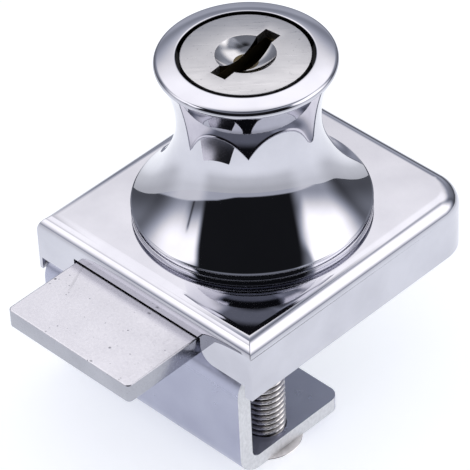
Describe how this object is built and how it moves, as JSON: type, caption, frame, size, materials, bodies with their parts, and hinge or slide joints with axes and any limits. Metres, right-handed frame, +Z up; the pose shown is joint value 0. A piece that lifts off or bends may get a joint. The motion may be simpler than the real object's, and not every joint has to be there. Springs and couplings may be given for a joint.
{
  "type": "glass cabinet door lock",
  "caption": "Clamp-on lock for the edge of a glass cabinet door: a bell-shaped keyed cylinder on a flat cover drives a sliding bolt, and a bent bracket with screws grips the glass.",
  "frame": {"origin": "on the key axis, on the face of the pad that lies on the glass", "axes": "+Z up the key axis away from the glass, +X the way the bolt is thrown, over the glass edge"},
  "size_m": [0.0489, 0.035, 0.0451],
  "materials": {
    "cover_chrome": "polished chrome plate on cast zinc",
    "bell_chrome": "mirror chrome plate on cast zinc",
    "bracket_plate": "plated bent steel sheet",
    "face_satin": "satin nickel plate with fine straight brushing",
    "bolt_plate": "plated cast zinc with small pits",
    "plug_brass": "machined",
    "wafer_brass": "stamped",
    "inner_steel": "plain steel",
    "screw_steel": "zinc plate",
    "clamp_steel": "dark nickel plate",
    "pad_rubber": "matt sheet",
    "tip_plastic": "moulded nylon"
  },
  "bodies": {
    "lock_case": {"cover": "cover_chrome", "bell_housing": "bell_chrome", "bell_screws": "screw_steel", "clamp_bracket": "bracket_plate", "bracket_screws": "screw_steel", "turn_stop_pin": "inner_steel", "glass_pad": "pad_rubber"},
    "plug": {"plug": "plug_brass", "plug_face": "face_satin", "crank_disc": "inner_steel", "crank_pin": "inner_steel", "crank_screw": "screw_steel", "wafer_spring_1": "inner_steel", "wafer_spring_2": "inner_steel", "wafer_spring_3": "inner_steel", "wafer_spring_4": "inner_steel", "wafer_spring_5": "inner_steel"},
    "bolt": {"bolt": "bolt_plate"},
    "wafer_1": {"wafer_1": "wafer_brass"},
    "wafer_2": {"wafer_2": "wafer_brass"},
    "wafer_3": {"wafer_3": "wafer_brass"},
    "wafer_4": {"wafer_4": "wafer_brass"},
    "wafer_5": {"wafer_5": "wafer_brass"},
    "tip_1": {"screw_tip_1": "tip_plastic"},
    "clamp_1": {"clamp_screw_1": "clamp_steel"},
    "tip_2": {"screw_tip_2": "tip_plastic"},
    "clamp_2": {"clamp_screw_2": "clamp_steel"}
  },
  "joints": [
    {"name": "plug_turn", "type": "hinge", "parent": "lock_case", "child": "plug", "pos_m": [0, 0, 0.018], "axis": [0, 0, -1], "range_deg": [0, 180]},
    {"name": "bolt_slide", "type": "slide", "parent": "lock_case", "child": "bolt", "axis": [-1, 0, 0], "range_m": [0, 0.0108]},
    {"name": "wafer_1_slide", "type": "slide", "parent": "plug", "child": "wafer_1", "axis": [0.9954, 0.0958, 0], "range_m": [0, 0.0008], "deforming": ["wafer_spring_1"]},
    {"name": "wafer_2_slide", "type": "slide", "parent": "plug", "child": "wafer_2", "axis": [-0.9954, -0.0958, 0], "range_m": [0, 0.0008], "deforming": ["wafer_spring_2"]},
    {"name": "wafer_3_slide", "type": "slide", "parent": "plug", "child": "wafer_3", "axis": [0.9954, 0.0958, 0], "range_m": [0, 0.0008], "deforming": ["wafer_spring_3"]},
    {"name": "wafer_4_slide", "type": "slide", "parent": "plug", "child": "wafer_4", "axis": [-0.9954, -0.0958, 0], "range_m": [0, 0.0008], "deforming": ["wafer_spring_4"]},
    {"name": "wafer_5_slide", "type": "slide", "parent": "plug", "child": "wafer_5", "axis": [0.9954, 0.0958, 0], "range_m": [0, 0.0008], "deforming": ["wafer_spring_5"]},
    {"name": "tip_1_slide", "type": "slide", "parent": "lock_case", "child": "tip_1", "axis": [0, 0, 1], "range_m": [-0.006, 0]},
    {"name": "clamp_1_turn", "type": "hinge", "parent": "tip_1", "child": "clamp_1", "pos_m": [0.011, 0.01175, -0.008], "axis": [0, 0, 1], "range_deg": [-2700, 0]},
    {"name": "tip_2_slide", "type": "slide", "parent": "lock_case", "child": "tip_2", "axis": [0, 0, 1], "range_m": [-0.006, 0]},
    {"name": "clamp_2_turn", "type": "hinge", "parent": "tip_2", "child": "clamp_2", "pos_m": [0.011, -0.01335, -0.008], "axis": [0, 0, 1], "range_deg": [-2700, 0]}
  ],
  "couplings": [
    {"joint": "bolt_slide", "follows": "plug_turn", "m_per_rad": 0.0034377},
    {"joint": "clamp_1_turn", "follows": "tip_1_slide", "rad_per_m": 7853.9},
    {"joint": "clamp_2_turn", "follows": "tip_2_slide", "rad_per_m": 7853.9}
  ]
}
